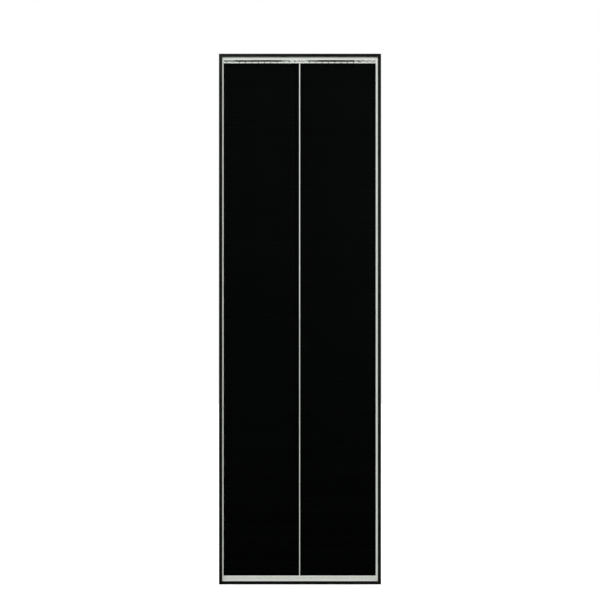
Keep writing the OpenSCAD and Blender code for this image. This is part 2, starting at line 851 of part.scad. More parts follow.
frame_rail_left();
frame_rail_right();
frame_rail_top();
frame_rail_bottom();
corner_keys();
edge_seal();
front_glass();
front_encapsulant();
cell_column_left();
cell_column_right();
strip_adhesive();
bus_ribbon_top();
bus_ribbon_bottom();
return_ribbons();
ribbon_insulators();
rear_encapsulant();
backsheet();
rating_label();
junction_box_pad();
junction_box_base();
junction_box_gasket();
junction_box_lid();
lid_hinge_pins();
terminal_rails();
ribbon_clips();
bypass_diodes();
cable_clamps();
gland_seals();
gland_nuts();
cable_tails();
cable_tail_cores();
positive_cable();
positive_core();
positive_cap_nut();
positive_gland_insert();
positive_housing();
positive_pin();
negative_cable();
negative_core();
negative_cap_nut();
negative_gland_insert();
negative_housing();
negative_socket();
negative_nose_seal();
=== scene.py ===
"""Looks for the framed solar module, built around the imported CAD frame."""

import math

import bmesh
import bpy
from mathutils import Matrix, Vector, noise


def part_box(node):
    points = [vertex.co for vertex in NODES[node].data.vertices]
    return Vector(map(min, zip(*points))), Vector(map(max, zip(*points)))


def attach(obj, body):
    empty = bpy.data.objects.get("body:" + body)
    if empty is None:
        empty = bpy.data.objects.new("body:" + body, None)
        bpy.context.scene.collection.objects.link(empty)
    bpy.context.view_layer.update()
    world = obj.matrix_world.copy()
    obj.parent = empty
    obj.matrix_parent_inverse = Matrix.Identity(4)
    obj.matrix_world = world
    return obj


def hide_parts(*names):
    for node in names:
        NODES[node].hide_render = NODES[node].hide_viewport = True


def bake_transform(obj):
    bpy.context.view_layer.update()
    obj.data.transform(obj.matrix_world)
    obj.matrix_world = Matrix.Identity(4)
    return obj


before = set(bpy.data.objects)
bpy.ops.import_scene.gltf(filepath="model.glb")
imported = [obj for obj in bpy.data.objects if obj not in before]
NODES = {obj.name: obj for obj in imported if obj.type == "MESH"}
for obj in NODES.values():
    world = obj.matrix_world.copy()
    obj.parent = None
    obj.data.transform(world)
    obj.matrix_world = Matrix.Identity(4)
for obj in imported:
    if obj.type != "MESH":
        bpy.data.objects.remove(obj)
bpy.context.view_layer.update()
MM = 0.001

# Places taken from the CAD frame
SHEET_LOW, SHEET_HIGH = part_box("backsheet")
CELLS_LOW, CELLS_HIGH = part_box("cell_column_left")
RIGHT_LOW, RIGHT_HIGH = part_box("cell_column_right")
RAIL_LOW, RAIL_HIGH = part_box("frame_rail_left")
BUS_LOW, BUS_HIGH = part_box("bus_ribbon_top")
PAD_LOW, PAD_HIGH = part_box("junction_box_pad")
BASE_LOW, BASE_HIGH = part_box("junction_box_base")
TOP = RAIL_HIGH.z
GLAND_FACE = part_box("gland_nuts")[0].z

# Sizes that the design gives to the cells, ribbons and rails
STRIPS = 40
STRIP_LAP = 0.85 * MM
PITCH = (CELLS_HIGH.z - CELLS_LOW.z - STRIP_LAP) / STRIPS
TAP_Z = CELLS_LOW.z + STRIPS / 2 * PITCH
RIBBON_X = (-32 * MM, 0.0, 32 * MM)
RIBBON_W = 5 * MM
BUS_GAP = 3.8 * MM
BUS_Z = (CELLS_HIGH.z + BUS_GAP + RIBBON_W / 2, CELLS_LOW.z - BUS_GAP - RIBBON_W / 2)
CHAMBER_W = 11 * MM

# The leads. The steps run from the point where a lead swings down to its plug: straight lengths in
# mm, and bends as a radius in mm and an angle in degrees.
LEAD_X = 30 * MM
LEAD_R = 3 * MM
LEAD_STEPS = (
    ("line", 24),
    ("bend", 80, 30),
    ("bend", 80, -30),
    ("line", 545),
    ("bend", 120, -15),
    ("bend", 120, 15),
    ("line", 70),
)
LEAD_ABOVE = 30 * MM  # how far a cable goes on above that point, into its gland
LEAD_PACE = 2 * MM  # from one point of a path to the next


# ---------------------------------------------------------------- node helpers


class Tree:
    """A material's node tree, with one short method for each kind of node used here."""

    def __init__(self, name):
        self.mat = bpy.data.materials.new(name)
        self.mat.use_nodes = True
        self.nodes = self.mat.node_tree.nodes
        self.links = self.mat.node_tree.links
        self.bsdf = self.nodes["Principled BSDF"]
        self.place = self.nodes.new("ShaderNodeTexCoord").outputs["Object"]

    def put(self, socket, value):
        if isinstance(value, bpy.types.NodeSocket):
            self.links.new(value, socket)
        else:
            socket.default_value = value

    def set(self, **values):
        for name, value in values.items():
            self.put(self.bsdf.inputs[name.replace("_", " ")], value)

    def stretch(self, scale, source=None):
        node = self.nodes.new("ShaderNodeMapping")
        self.put(node.inputs["Vector"], source or self.place)
        node.inputs["Scale"].default_value = scale
        return node.outputs["Vector"]

    def noise(self, scale, detail=2.0, rough=0.5, source=None):
        node = self.nodes.new("ShaderNodeTexNoise")
        self.put(node.inputs["Vector"], source or self.place)
        node.inputs["Scale"].default_value = scale
        node.inputs["Detail"].default_value = detail
        node.inputs["Roughness"].default_value = rough
        return node.outputs["Fac"]

    def math(self, kind, a, b=0.0, c=0.0):
        node = self.nodes.new("ShaderNodeMath")
        node.operation = kind
        for socket, value in zip(node.inputs, (a, b, c)):
            self.put(socket, value)
        return node.outputs[0]

    def spread(self, value, low, high, to_low, to_high, smooth=False):
        node = self.nodes.new("ShaderNodeMapRange")
        if smooth:
            node.interpolation_type = "SMOOTHSTEP"
        for socket, v in zip(node.inputs, (value, low, high, to_low, to_high)):
            self.put(socket, v)
        return node.outputs[0]

    def ranged(self, fac, to_low, to_high):
        """A noise value, most of which lies from 0.3 to 0.7, spread over a new range."""
        return self.spread(fac, 0.3, 0.7, to_low, to_high)

    def mix(self, fac, a, b):
        node = self.nodes.new("ShaderNodeMix")
        node.data_type = "RGBA"
        self.put(node.inputs[0], fac)
        self.put(node.inputs[6], a)
        self.put(node.inputs[7], b)
        return node.outputs[2]

    def axes(self):
        node = self.nodes.new("ShaderNodeSeparateXYZ")
        self.put(node.inputs[0], self.place)
        return node.outputs

    def random_of(self, value):
        node = self.nodes.new("ShaderNodeTexWhiteNoise")
        node.noise_dimensions = "1D"
        self.put(node.inputs["W"], value)
        return node.outputs["Value"]

    def bump(self, height, distance, strength=1.0, under=None):
        node = self.nodes.new("ShaderNodeBump")
        node.inputs["Strength"].default_value = strength
        node.inputs["Distance"].default_value = distance
        self.put(node.inputs["Height"], height)
        if under is not None:
            self.put(node.inputs["Normal"], under)
        return node.outputs["Normal"]


def grey(v, warm=0.0):
    """A grey, made warmer by a small share."""
    return (v * (1 + warm), v, v * (1 - warm), 1.0)


# ---------------------------------------------------------------- materials


def anodised(name, along):
    """Black anodised extrusion: fine drawing lines along the rail, and a faint cloudy sheen."""
    t = Tree(name)
    lines = [3200.0, 3200.0, 3200.0]
    lines[along] = 14.0
    drawn = t.noise(1.0, 3.0, 0.6, t.stretch(lines))
    cloud = t.noise(9.0, 3.0)
    grain = t.noise(2600.0, 2.0)
    t.set(
        Base_Color=t.mix(t.ranged(cloud, 0, 1), grey(0.004), grey(0.008, -0.02)),
        Metallic=0.3,
        Roughness=t.math("ADD", t.ranged(cloud, 0.2, 0.28), t.ranged(drawn, -0.04, 0.06)),
        Normal=t.bump(grain, 0.004 * MM, 0.4, t.bump(drawn, 0.01 * MM, 0.5)),
    )
    t.bsdf.inputs["Specular IOR Level"].default_value = 0.42
    return t.mat


def toughened_glass():
    """Low-iron cover glass: clear, with a soft textured front that mirrors a little more at an angle."""
    t = Tree("toughened_glass")
    nodes = t.nodes
    clear = nodes.new("ShaderNodeBsdfTransparent")
    clear.inputs["Color"].default_value = (0.965, 0.985, 0.975, 1)
    shine = nodes.new("ShaderNodeBsdfGlossy")
    shine.inputs["Color"].default_value = (1, 1, 1, 1)
    shine.inputs["Roughness"].default_value = 0.12
    stipple = t.noise(900.0, 2.0, 0.5)
    wave = t.noise(14.0, 1.0)
    normal = t.bump(stipple, 0.004 * MM, 0.15, t.bump(wave, 0.3 * MM, 0.25))
    t.put(shine.inputs["Normal"], normal)
    facing = nodes.new("ShaderNodeFresnel")
    facing.inputs["IOR"].default_value = 1.27
    side = nodes.new("ShaderNodeSeparateXYZ")
    geometry = nodes.new("ShaderNodeNewGeometry")
    t.put(side.inputs[0], geometry.outputs["True Normal"])
    front = t.math("LESS_THAN", side.outputs["Y"], -0.5)
    entering = t.math("MULTIPLY", front, t.math("SUBTRACT", 1.0, geometry.outputs["Backfacing"]))
    fac = t.math("MULTIPLY", t.math("MULTIPLY", facing.outputs[0], 0.6), entering)
    mix = nodes.new("ShaderNodeMixShader")
    t.put(mix.inputs[0], fac)
    t.put(mix.inputs[1], clear.outputs[0])
    t.put(mix.inputs[2], shine.outputs[0])
    t.put(nodes["Material Output"].inputs["Surface"], mix.outputs[0])
    nodes.remove(t.bsdf)
    return t.mat


def encapsulant():
    """Cured clear film: it only tints what is behind it."""
    t = Tree("encapsulant")
    clear = t.nodes.new("ShaderNodeBsdfTransparent")
    haze = t.noise(40.0, 2.0)
    tint = t.mix(haze, (0.985, 0.99, 0.985, 1), (0.995, 0.995, 0.99, 1))
    t.put(clear.inputs["Color"], tint)
    t.put(t.nodes["Material Output"].inputs["Surface"], clear.outputs[0])
    t.nodes.remove(t.bsdf)
    return t.mat


def silicon():
    """Nearly black textured cells: each strip differs a little, with hair-fine printed fingers, two
    lines that tie them together, and a lighter line along each strip's lower edge, partly its laser-cut
    edge and partly a painted highlight of the lap."""
    finger_pitch, finger_share = 1.4 * MM, 0.035
    edge_highlight_share, tie_from, column_seed = 0.01, 0.485, 57.0
    t = Tree("silicon_cell")
    x, y, z = t.axes()
    up = t.math("DIVIDE", t.math("SUBTRACT", z, CELLS_LOW.z), PITCH)
    strip = t.math("FLOOR", up)
    within = t.math("FRACT", up)
    column = t.math("GREATER_THAN", x, 0.0)
    own = t.random_of(t.math("ADD", strip, t.math("MULTIPLY", column, column_seed)))
    across = t.math("FRACT", t.math("MULTIPLY", x, 1 / finger_pitch))
    finger = t.math("LESS_THAN", across, finger_share)
    # A lighter band along each strip's lower edge: partly the laser-cut edge, partly a painted highlight of
    # the lap
    edge = t.math("LESS_THAN", within, edge_highlight_share)
    third = t.math("SUBTRACT", t.math("FRACT", t.math("MULTIPLY", within, 3.0)), 0.5)
    tie = t.math("GREATER_THAN", t.math("ABSOLUTE", third), tie_from)
    cloud = t.noise(30.0, 3.0)
    body = t.mix(own, (0.0002, 0.0003, 0.0003, 1), (0.0006, 0.0007, 0.0008, 1))
    body = t.mix(t.ranged(cloud, 0, 0.35), body, (0.0006, 0.0008, 0.001, 1))
    printed = t.mix(t.math("MAXIMUM", finger, tie), body, grey(0.006))
    t.set(
        Base_Color=t.mix(edge, printed, grey(0.01)),
        Roughness=t.spread(own, 0, 1, 0.34, 0.46),
        Normal=t.bump(t.noise(4000.0, 2.0), 0.01 * MM, 0.3),
    )
    t.bsdf.inputs["Specular IOR Level"].default_value = 0.0
    return t.mat


def tinned_ribbon():
    """Solder-dipped copper strip: smooth and dark-mirrored where it lies flat, pale, frosted and crinkled
    over set stretches near its ends and beside the middle."""
    t = Tree("tinned_ribbon")
    x, y, z = t.axes()
    # Frosted stretches: middle, half width, width of the fade, and how frosted
    zones = (
        (BUS_LOW.x + 10 * MM, 15 * MM, 8 * MM, 0.36),
        (-3 * MM, 23 * MM, 6 * MM, 1.0),
        (-38 * MM, 10 * MM, 4 * MM, 0.6),
        (36 * MM, 10 * MM, 6 * MM, 0.35),
        (BUS_HIGH.x - 54 * MM, 3 * MM, 3 * MM, 0.8),
        (BUS_HIGH.x - 22 * MM, 20 * MM, 6 * MM, 0.95),
    )
    frosted_stretch = 0.0
    for centre, half, fade, depth in zones:
        away = t.math("ABSOLUTE", t.math("SUBTRACT", x, centre))
        here = t.spread(away, half, half + fade, depth, 0.0, True)
        frosted_stretch = t.math("MAXIMUM", frosted_stretch, here)
    buckle = t.noise(1.0, 1.0, 0.5, t.stretch((190.0, 190.0, 460.0)))
    pool = t.noise(700.0, 3.0, 0.6)
    patch = t.noise(1.0, 2.0, 0.6, t.stretch((170.0, 170.0, 420.0)))
    frost = t.math("MULTIPLY", frosted_stretch, t.spread(patch, 0.36, 0.6, 0.25, 1.0))
    shiny = t.mix(pool, grey(0.035, 0.01), grey(0.06, 0.015))
    t.set(
        Base_Color=t.mix(frost, shiny, grey(0.8, 0.01)),
        Metallic=t.spread(frost, 0.0, 1.0, 1.0, 0.25),
        Roughness=t.math("ADD", t.ranged(pool, 0.14, 0.26), t.math("MULTIPLY", frost, 0.3)),
        Normal=t.bump(pool, 0.02 * MM, 0.3, t.bump(buckle, 1.4 * MM, 0.8)),
    )
    return t.mat


def bright_painted_ribbon():
    """The lower bus ribbon: solder painted matt and pale, a painted reflection of bright light, with a
    slightly warm cast.
    """
    t = Tree("bright_painted_ribbon")
    pool = t.noise(500.0, 3.0, 0.6)
    streak = t.noise(1.0, 2.0, 0.5, t.stretch((30.0, 30.0, 900.0)))
    t.set(
        Base_Color=t.mix(streak, (0.74, 0.735, 0.69, 1), (0.66, 0.65, 0.6, 1)),
        Metallic=0.12,
        Roughness=t.ranged(pool, 0.42, 0.56),
        Normal=t.bump(pool, 0.03 * MM, 0.4),
    )
    return t.mat


def white_film(name, low, high, rough):
    """White laminate film, slightly warm, cloudy between two tones and faintly peeled."""
    blue = 0.035
    low, high = (low, low, low - blue, 1), (high, high, high - blue, 1)
    t = Tree(name)
    cloud = t.noise(22.0, 3.0)
    peel = t.noise(420.0, 2.0)
    fibre = t.noise(5200.0, 1.0)
    t.set(
        Base_Color=t.mix(t.ranged(cloud, 0, 1), low, high),
        Roughness=t.ranged(peel, rough - 0.05, rough + 0.07),
        Normal=t.bump(fibre, 0.01 * MM, 0.3, t.bump(peel, 0.03 * MM, 0.35)),
    )
    return t.mat


def moulded(name, tone, rough, pitch=2400.0, depth=0.03):
    """Moulded plastic with a spark-eroded skin."""
    t = Tree(name)
    spark = t.noise(pitch, 3.0, 0.65)
    cloud = t.noise(60.0, 2.0)
    grain = t.ranged(spark, rough - 0.05, rough + 0.08)
    t.set(
        Base_Color=t.mix(t.ranged(cloud, 0, 1), grey(tone * 0.8), grey(tone * 1.25)),
        Roughness=t.math("ADD", grain, t.ranged(cloud, -0.03, 0.03)),
        Normal=t.bump(spark, depth * MM, 0.5),
    )
    return t.mat


def rubber(name, colour, rough=0.62):
    """Soft rubber or cured silicone, with a fine skin and a bloom of dust."""
    t = Tree(name)
    skin = t.noise(1500.0, 3.0, 0.6)
    dust = t.noise(90.0, 3.0)
    lighter = tuple(min(1.0, c * 1.5 + 0.006) for c in colour[:3]) + (1.0,)
    t.set(
        Base_Color=t.mix(t.spread(dust, 0.35, 0.75, 0, 0.8), colour, lighter),
        Roughness=t.ranged(skin, rough - 0.08, rough + 0.1),
        Normal=t.bump(skin, 0.03 * MM, 0.5),
    )
    return t.mat


def cable_jacket():
    """Extruded jacket: faint draw lines along the cable and a satin skin."""
    t = Tree("cable_jacket")
    drawn = t.noise(1.0, 2.0, 0.5, t.stretch((2600.0, 2600.0, 25.0)))
    cloud = t.noise(70.0, 2.0)
    t.set(
        Base_Color=t.mix(cloud, grey(0.009), grey(0.017)),
        Roughness=t.ranged(cloud, 0.36, 0.48),
        Normal=t.bump(drawn, 0.04 * MM, 0.5),
    )
    return t.mat


def metal(name, colour, rough, along=2, lines=2500.0):
    """Drawn or stamped metal."""
    t = Tree(name)
    scale = [lines, lines, lines]
    scale[along] = 60.0
    drawn = t.noise(1.0, 3.0, 0.6, t.stretch(scale))
    stain = t.noise(220.0, 3.0)
    worn = t.ranged(stain, rough - 0.05, rough + 0.08)
    darker = tuple(c * 0.72 for c in colour[:3]) + (1.0,)
    t.set(
        Base_Color=t.mix(t.spread(stain, 0.35, 0.75, 0, 1), colour, darker),
        Metallic=1.0,
        Roughness=t.math("ADD", worn, t.ranged(drawn, -0.04, 0.06)),
        Normal=t.bump(drawn, 0.015 * MM, 0.5),
    )
    return t.mat


def diode(low, high):
    """Black epoxy bodies with a pale cathode ring, on bright tinned leads."""
    lead_r, ring_x, half_ring = 0.8 * MM, 12.8 * MM, 0.45 * MM
    t = Tree("diode_epoxy")
    x, y, z = t.axes()
    dy = t.math("SUBTRACT", y, (low.y + high.y) / 2)
    dz = t.math("SUBTRACT", z, (low.z + high.z) / 2)
    away = t.math("SQRT", t.math("ADD", t.math("MULTIPLY", dy, dy), t.math("MULTIPLY", dz, dz)))
    lead = t.math("LESS_THAN", away, lead_r)
    from_ring = t.math("ABSOLUTE", t.math("SUBTRACT", t.math("ABSOLUTE", x), ring_x))
    ring = t.math("LESS_THAN", from_ring, half_ring)
    skin = t.noise(1800.0, 3.0)
    body = t.mix(ring, t.mix(skin, grey(0.016), grey(0.026)), grey(0.42))
    t.set(
        Base_Color=t.mix(lead, body, grey(0.6, 0.01)),
        Metallic=lead,
        Roughness=t.ranged(skin, 0.3, 0.42),
        Normal=t.bump(skin, 0.02 * MM, 0.4),
    )
    return t.mat


def label_film(low, high):
    """A blank silver rating label: a printed border and rules, with no words."""
    t = Tree("label_film")
    x, y, z = t.axes()
    cx, cz = (low.x + high.x) / 2, (low.z + high.z) / 2
    half_w, half_h = (high.x - low.x) / 2, (high.z - low.z) / 2
    inset, line, rule_pitch = 2.5 * MM, 0.35 * MM, 7 * MM
    from_x = t.math("SUBTRACT", half_w - inset, t.math("ABSOLUTE", t.math("SUBTRACT", x, cx)))
    from_z = t.math("SUBTRACT", half_h - inset, t.math("ABSOLUTE", t.math("SUBTRACT", z, cz)))
    nearest = t.math("MINIMUM", from_x, from_z)
    border = t.math("LESS_THAN", t.math("ABSOLUTE", nearest), line)
    rows = t.math("DIVIDE", t.math("SUBTRACT", z, low.z), rule_pitch)
    rule = t.math("LESS_THAN", t.math("FRACT", rows), line / rule_pitch)
    inside = t.math("GREATER_THAN", nearest, inset)
    ink = t.math("MAXIMUM", border, t.math("MULTIPLY", rule, inside))
    sheen = t.noise(1.0, 2.0, 0.5, t.stretch((40.0, 40.0, 2200.0)))
    t.set(
        Base_Color=t.mix(ink, grey(0.62), grey(0.12)),
        Metallic=0.45,
        Roughness=t.ranged(sheen, 0.3, 0.42),
        Normal=t.bump(t.noise(500.0, 2.0), 0.03 * MM, 0.3),
    )
    return t.mat


# ---------------------------------------------------------------- mesh helpers


def add_mesh(name, verts, faces, smooth=True):
    """A mesh object in the scene, with its faces turned outwards."""
    mesh = bpy.data.meshes.new(name)
    mesh.from_pydata([tuple(v) for v in verts], [], faces)
    bm = bmesh.new()
    bm.from_mesh(mesh)
    bmesh.ops.recalc_face_normals(bm, faces=bm.faces)
    bm.to_mesh(mesh)
    bm.free()
    mesh.validate()
    for p in mesh.polygons:
        p.use_smooth = smooth
    obj = bpy.data.objects.new(name, mesh)
    bpy.context.scene.collection.objects.link(obj)
    return obj


def ring_faces(rings, size, closed):
    """Quads between rings of the same size; an open run gets end caps."""
    faces = []
    last = rings if closed else rings - 1
    for i in range(last):
        a, b = i * size, ((i + 1) % rings) * size
        for j in range(size):
            k = (j + 1) % size
            faces.append((a + j, a + k, b + k, b + j))
    if not closed:
        faces.append(tuple(range(size))[::-1])
        faces.append(tuple((rings - 1) * size + j for j in range(size)))
    return faces


def tube_verts(points, radius, sides, taper=0.0):
    """Rings of points round a path, the first and last drawn in by the taper."""
    verts = []
    normal = Vector((0, 1, 0))
    last = len(points) - 1
    for i, p in enumerate(points):
        ahead = points[min(i + 1, last)] - points[max(i - 1, 0)]
        ahead.normalize()
        normal = (normal - ahead * normal.dot(ahead)).normalized()
        across = ahead.cross(normal)
        r = radius - (taper if i in (0, last) else 0.0)
        for j in range(sides):
            a = 2 * math.pi * j / sides
            verts.append(p + normal * (r * math.cos(a)) + across * (r * math.sin(a)))
    return verts


def tube(name, points, radius, sides=24, taper=0.0):
    return add_mesh(name, tube_verts(points, radius, sides, taper), ring_faces(len(points), sides, False))


def cord(name, loop, y, out, deep, sides=10, ripple=0.0):
    """A rounded cord laid round a closed loop: out is its half width, and deep its half depth."""
    verts = []
    for p, d in loop:
        swell = 1 + ripple * wobble(p, 260.0, 2.4)
        for j in range(sides):
            a = 2 * math.pi * j / sides
            rise = Vector((0, y + deep * swell * math.sin(a), 0))
            verts.append(Vector((p.x, 0, p.z)) + d * (out * swell * math.cos(a)) + rise)
    return add_mesh(name, verts, ring_faces(len(loop), sides, True))


def turned(profile, centre, turns=64):
    """Points and faces of a ring turned about a vertical axis, from a section of (radius, height)."""
    verts = []
    for i in range(turns):
        a = 2 * math.pi * i / turns
        out = Vector((math.cos(a), math.sin(a), 0))
        verts += [centre + out * r + Vector((0, 0, h)) for r, h in profile]
    return verts, ring_faces(turns, len(profile), True)


def wobble(p, scale, seed):
    """Smooth noise at a point, the same on every run."""
    return noise.noise(Vector((p.x * scale + seed, p.y * scale, p.z * scale - seed)))


def rounded_loop(cx, cz, w, h, r, step):
    """Points and outward directions round a rounded rectangle in the XZ plane."""
    out = []
    corners = ((1, 1, 0), (-1, 1, 90), (-1, -1, 180), (1, -1, 270))
    arc_steps = max(3, int(r * math.pi / 2 / step) + 1)
    for n, (sx, sz, start) in enumerate(corners):
        ox, oz = cx + sx * (w / 2 - r), cz + sz * (h / 2 - r)
        for i in range(arc_steps + 1):
            a = math.radians(start + 90 * i / arc_steps)
            d = Vector((math.cos(a), 0, math.sin(a)))
            out.append((Vector((ox, 0, oz)) + d * r, d))
        nx, nz, nstart = corners[(n + 1) % 4]
        a = math.radians(nstart)
        d = Vector((math.cos(a), 0, math.sin(a)))
        there = Vector((cx + nx * (w / 2 - r), 0, cz + nz * (h / 2 - r))) + d * r
        here = out[-1][0]
        run = max(1, int((there - here).length / step))
        for i in range(1, run):
            out.append((here.lerp(there, i / run), d))
    return out


# ---------------------------------------------------------------- pieces


# The ramp beside a ribbon that shows through the rear film, and the slit its ribbons come out of
SOFT = 0.9 * MM
SLIT_X = (-38 * MM, 38 * MM)
SLIT_Z = (BASE_HIGH.z - 20.5 * MM, BASE_HIGH.z - 11.5 * MM)


def emboss(x, z):
    """How far the rear film stands up over the ribbons laid under it, and over each lap."""
    rise, bus_share, lap_rise = 0.16 * MM, 0.7, 0.05 * MM
    half = RIBBON_W / 2
    leads_z = SLIT_Z[0] + 0.5 * MM

    def over(value, centre, half):
        return max(0.0, min(1.0, (half + SOFT - abs(value - centre)) / SOFT))

    def between(value, low, high):
        return max(0.0, min(1.0, (min(value - low, high - value) + SOFT) / SOFT))

    starts = (leads_z, TAP_Z, CELLS_LOW.z - 8 * MM)
    ends = (CELLS_HIGH.z + 8 * MM, leads_z, leads_z)
    h = max(over(x, c, half) * between(z, a, b) for c, a, b in zip(RIBBON_X, starts, ends))
    h = max(h, over(z, TAP_Z, half) * between(x, -0.2, 0.2))
    for bus in BUS_Z:
        h = max(h, bus_share * over(z, bus, half) * between(x, CELLS_LOW.x, RIGHT_HIGH.x))
    lap = 0.0
    inside = CELLS_LOW.x < x < CELLS_HIGH.x or RIGHT_LOW.x < x < RIGHT_HIGH.x
    if inside and CELLS_LOW.z < z < CELLS_HIGH.z:
        lap = lap_rise * (((z - CELLS_LOW.z) / PITCH) % 1.0)
    return rise * h * h * (3 - 2 * h) + lap


def film_lines():
    """The grid the rear film is built on: lines at every edge and ramp, and a few to spare."""

    def ramps(centre):
        return [centre + s * (RIBBON_W / 2 + part * SOFT) for s in (-1, 1) for part in (0.0, 0.5, 1.0)]

    def held(x):
        return max(SHEET_LOW.x, min(SHEET_HIGH.x, x))

    spare = 24
    xs, zs = list(SLIT_X), [*SLIT_Z, SHEET_LOW.z, SHEET_HIGH.z]
    for centre in RIBBON_X:
        xs += ramps(centre)
    for edge in (SHEET_LOW.x, SHEET_HIGH.x, CELLS_LOW.x, CELLS_HIGH.x, RIGHT_LOW.x, RIGHT_HIGH.x):
        xs += [edge, held(edge - SOFT), held(edge + SOFT)]
    xs += [SHEET_LOW.x + (SHEET_HIGH.x - SHEET_LOW.x) * k / spare for k in range(1, spare)]
    for i in range(STRIPS + 1):
        zs += [min(SHEET_HIGH.z, CELLS_LOW.z + (i + part) * PITCH) for part in (0.0, 0.03, 0.5, 0.97)]
    for centre in (TAP_Z, *BUS_Z):
        zs += ramps(centre)
    digits, slack = 6, 1e-6
    xs = sorted({round(x, digits) for x in xs})
    zs = sorted({round(z, digits) for z in zs})
    return xs, [z for z in zs if SHEET_LOW.z - slack <= z <= SHEET_HIGH.z + slack]


def backsheet(mat):
    """The white rear film, embossed by the ribbons and laps beneath it, with the slit for the leads."""
    xs, zs = film_lines()
    back = [Vector((x, SHEET_HIGH.y + emboss(x, z), z)) for x in xs for z in zs]
    front = [Vector((x, SHEET_LOW.y, z)) for x in xs for z in zs]
    nx, nz, n = len(xs), len(zs), len(xs) * len(zs)

    def solid(i, j):
        if not (0 <= i < nx - 1 and 0 <= j < nz - 1):
            return False
        mx, mz = (xs[i] + xs[i + 1]) / 2, (zs[j] + zs[j + 1]) / 2
        return not (SLIT_X[0] < mx < SLIT_X[1] and SLIT_Z[0] < mz < SLIT_Z[1])

    faces = []
    for i in range(nx - 1):
        for j in range(nz - 1):
            if not solid(i, j):
                continue
            a, b = i * nz + j, (i + 1) * nz + j
            c, d = b + 1, a + 1
            faces.append((a, b, c, d))
            faces.append((n + d, n + c, n + b, n + a))
            sides = (((i, j - 1), a, b), ((i + 1, j), b, c), ((i, j + 1), c, d), ((i - 1, j), d, a))
            faces += [(q, p, n + p, n + q) for cell, p, q in sides if not solid(*cell)]
    obj = add_mesh("backsheet_film", back + front, faces, smooth=False)
    bm = bmesh.new()
    bm.from_mesh(obj.data)
    loose = [v for v in bm.verts if not v.link_faces]
    bmesh.ops.delete(bm, geom=loose, context="VERTS")
    bm.to_mesh(obj.data)
    bm.free()
    smooth_by_angle(obj, 30)
    obj.data.materials.append(mat)
    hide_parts("backsheet")
    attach(obj, "module")


def edge_bead(mat):
    """The line of silicone left in the corner between the rear film and the rails. Its section is
    in mm, inwards and off the film."""
    profile = ((0.02, 0.02), (1.35, 0.02), (0.95, 0.5), (0.45, 0.9), (0.02, 1.3))
    y = SHEET_HIGH.y
    w, h = RAIL_LOW.x * -2 - 2 * CHAMBER_W, TOP - 2 * CHAMBER_W
    rings = []
    for p, d in rounded_loop(0, TOP / 2, w, h, r=0.6 * MM, step=6 * MM):
        swell = 1 + 0.22 * wobble(p, 90.0, 3.1) + 0.12 * wobble(p, 400.0, 8.7)
        for a, b in profile:
            inward = a * MM * (swell if a > 0.1 else 1)
            off = b * MM * (swell if b > 0.1 else 1)
            rings.append(Vector((p.x, y + off, p.z)) - d * inward)
    count = len(rings) // len(profile)
    obj = add_mesh("edge_seal_bead", rings, ring_faces(count, len(profile), True))
    obj.data.materials.append(mat)
    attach(obj, "module")


def box_sealant(mat):
    """The adhesive under the junction box, squeezed out a little all round. Its section is in mm,
    outwards from the wall and off the film."""
    squeezed = ((0.7, 0.03), (1.25, 0.18), (1.4, 0.5), (1.2, 0.85), (0.6, 1.1), (0.04, 1.2))
    profile = ((-6, 0.03), *squeezed, (0.04, 0.8), (-6, 0.8))
    y = SHEET_HIGH.y + 0.02 * MM
    cz = (PAD_LOW.z + PAD_HIGH.z) / 2
    w, h = BASE_HIGH.x - BASE_LOW.x, PAD_HIGH.z - PAD_LOW.z + 6 * MM
    rings = []
    for p, d in rounded_loop(0, cz, w, h, r=6.2 * MM, step=2.5 * MM):
        swell = 1 + 0.35 * wobble(p, 140.0, 5.5) + 0.15 * wobble(p, 600.0, 1.2)
        for a, b in profile:
            out = a * MM * (swell if a > 0.1 else 1)
            rings.append(Vector((p.x, y + b * MM, p.z)) + d * out)
    count = len(rings) // len(profile)
    obj = add_mesh("junction_box_sealant", rings, ring_faces(count, len(profile), True))
    obj.data.materials.append(mat)
    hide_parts("junction_box_pad")
    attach(obj, "module")


def box_gasket(mat):
    """A soft foamed cord in the box's rim, a little uneven along its run."""
    low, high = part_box("junction_box_gasket")
    width = 1.3 * MM
    w, h = high.x - low.x - width, high.z - low.z - width
    y, deep = (low.y + high.y) / 2, (high.y - low.y) / 2
    loop = rounded_loop(0, (low.z + high.z) / 2, w, h, r=4.4 * MM, step=1.5 * MM)
    obj = cord("junction_box_gasket_cord", loop, y, width / 2, deep, sides=12, ripple=0.05)
    obj.data.materials.append(mat)
    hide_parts("junction_box_gasket")
    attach(obj, "module")


def nose_ring(mat):
    """The moulded sealing ring round the nose of the negative connector."""
    low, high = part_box("negative_nose_seal")
    middle = (low + high) / 2
    section = (high.z - low.z) / 2
    ring_r = (high.x - low.x) / 2 - section
    sides = 16
    angles = [2 * math.pi * j / sides for j in range(sides)]
    verts, faces = turned([(ring_r + section * math.cos(b), section * math.sin(b)) for b in angles], middle)
    obj = add_mesh("negative_nose_ring", verts, faces)
    obj.data.materials.append(mat)
    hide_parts("negative_nose_seal")
    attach(obj, "negative_lead")


